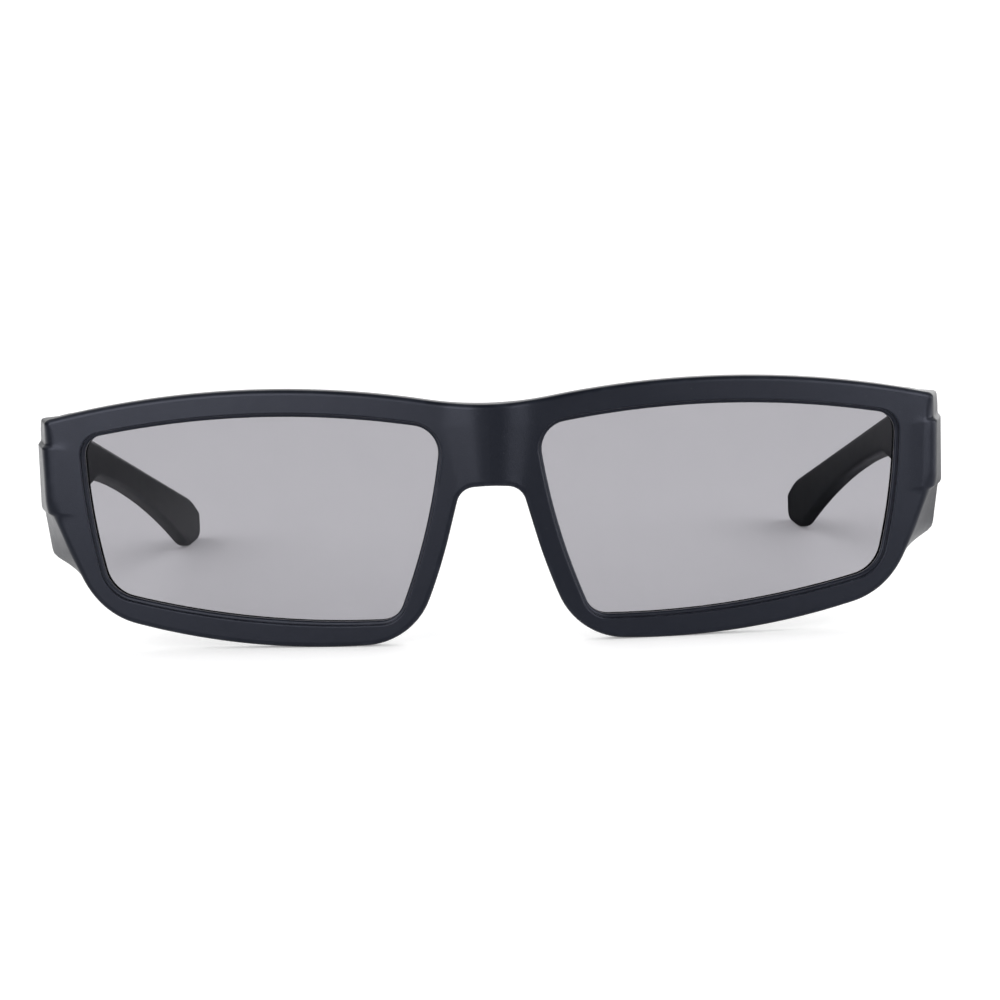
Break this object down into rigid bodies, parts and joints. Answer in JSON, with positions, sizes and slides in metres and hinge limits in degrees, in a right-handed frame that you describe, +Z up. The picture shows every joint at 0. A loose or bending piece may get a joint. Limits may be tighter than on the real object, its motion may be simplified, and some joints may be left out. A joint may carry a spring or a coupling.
{
  "type": "3d glasses",
  "caption": "Moulded dark plastic polarised viewing glasses with flat layered lenses behind a stepped rim and folding temples on pinned hinges.",
  "frame": {"origin": "on the floor, under the middle of the open glasses", "axes": "+Z up, the front faces -Y, +X is the wearer's left"},
  "size_m": [0.151, 0.15, 0.0425],
  "materials": {
    "frame": "fine satin moulding",
    "temple": "fine satin moulding",
    "retainer": "fine satin moulding",
    "retarder": "clear film",
    "polariser": "grey tinted film",
    "support": "clear sheet",
    "pin": "drawn wire"
  },
  "bodies": {
    "front": {"front_frame": "frame", "right_retarder_film": "retarder", "left_retarder_film": "retarder", "right_polariser_film": "polariser", "left_polariser_film": "polariser", "right_support_sheet": "support", "left_support_sheet": "support", "right_lens_retainer": "retainer", "left_lens_retainer": "retainer", "right_hinge_pin": "pin", "left_hinge_pin": "pin"},
    "left_side": {"left_temple": "temple"},
    "right_side": {"right_temple": "temple"}
  },
  "joints": [
    {"name": "left_temple_fold", "type": "hinge", "parent": "front", "child": "left_side", "pos_m": [0.0709, -0.05623, 0.03], "axis": [0, 0, 1], "range_deg": [0, 87]},
    {"name": "right_temple_fold", "type": "hinge", "parent": "front", "child": "right_side", "pos_m": [-0.0709, -0.05623, 0.03], "axis": [0, 0, -1], "range_deg": [0, 83]}
  ]
}
